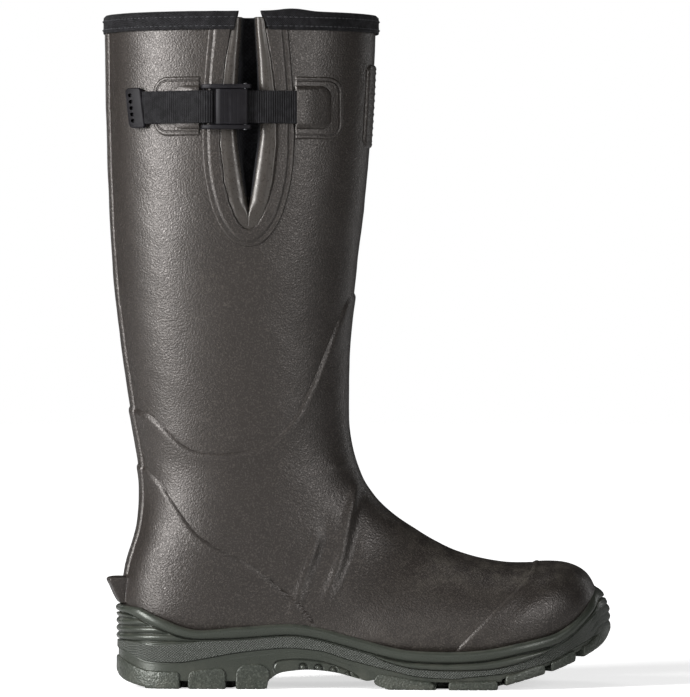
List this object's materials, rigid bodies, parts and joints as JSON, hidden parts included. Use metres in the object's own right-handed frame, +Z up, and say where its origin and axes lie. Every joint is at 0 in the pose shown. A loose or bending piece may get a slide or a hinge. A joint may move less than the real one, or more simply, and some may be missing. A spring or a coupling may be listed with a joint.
{
  "type": "insulated rubber hunting boot",
  "caption": "Knee-high right rubber boot with insulating lining, lugged sole, outer bellows gusset and a webbing strap closed by a cam buckle.",
  "frame": {"origin": "middle of the whole boot's box, on the floor under the sole", "axes": "+X to the toe, -Y to the outer side of the leg, where the gusset and strap are, and +Z up the shaft"},
  "size_m": [0.3142, 0.1254, 0.4144],
  "materials": {
    "upper_rubber": "matte with a fine grain",
    "gusset_rubber": "smooth satin",
    "sole_rubber": "matte, moulded",
    "neoprene": "knit-faced foam",
    "tape": "stretch tape",
    "webbing": "ribbed webbing",
    "plastic": "satin",
    "foam": "felted foam",
    "board": "raw",
    "steel": "brushed"
  },
  "bodies": {
    "boot": {"outsole": "sole_rubber", "sidewall": "sole_rubber", "midsole": "foam", "shank": "steel", "lasting_board": "board", "insole": "foam", "upper_shell": "upper_rubber", "neoprene_sock": "neoprene", "foot_overlay": "upper_rubber", "heel_counter": "upper_rubber", "toe_cap": "upper_rubber", "back_seam_strip": "upper_rubber", "kick_spur": "upper_rubber", "shin_badge": "upper_rubber", "collar_binding": "tape", "gusset": "gusset_rubber", "gusset_border": "upper_rubber", "front_patch": "upper_rubber", "rear_patch": "upper_rubber", "strap_front": "webbing", "buckle_loop": "webbing", "buckle_frame": "plastic", "lever_pin": "steel"},
    "lever": {"cam_lever": "plastic"},
    "tail": {"strap_tail": "webbing", "strap_end_cap": "plastic"}
  },
  "joints": [
    {"name": "lever_hinge", "type": "hinge", "parent": "boot", "child": "lever", "pos_m": [-0.0683, -0.0609, 0.356], "axis": [0, 0, 1], "range_deg": [0, 95]},
    {"name": "tail_bend", "type": "hinge", "parent": "boot", "child": "tail", "pos_m": [-0.0879, -0.0586, 0.356], "axis": [0, 0, 1], "range_deg": [0, 60]}
  ]
}
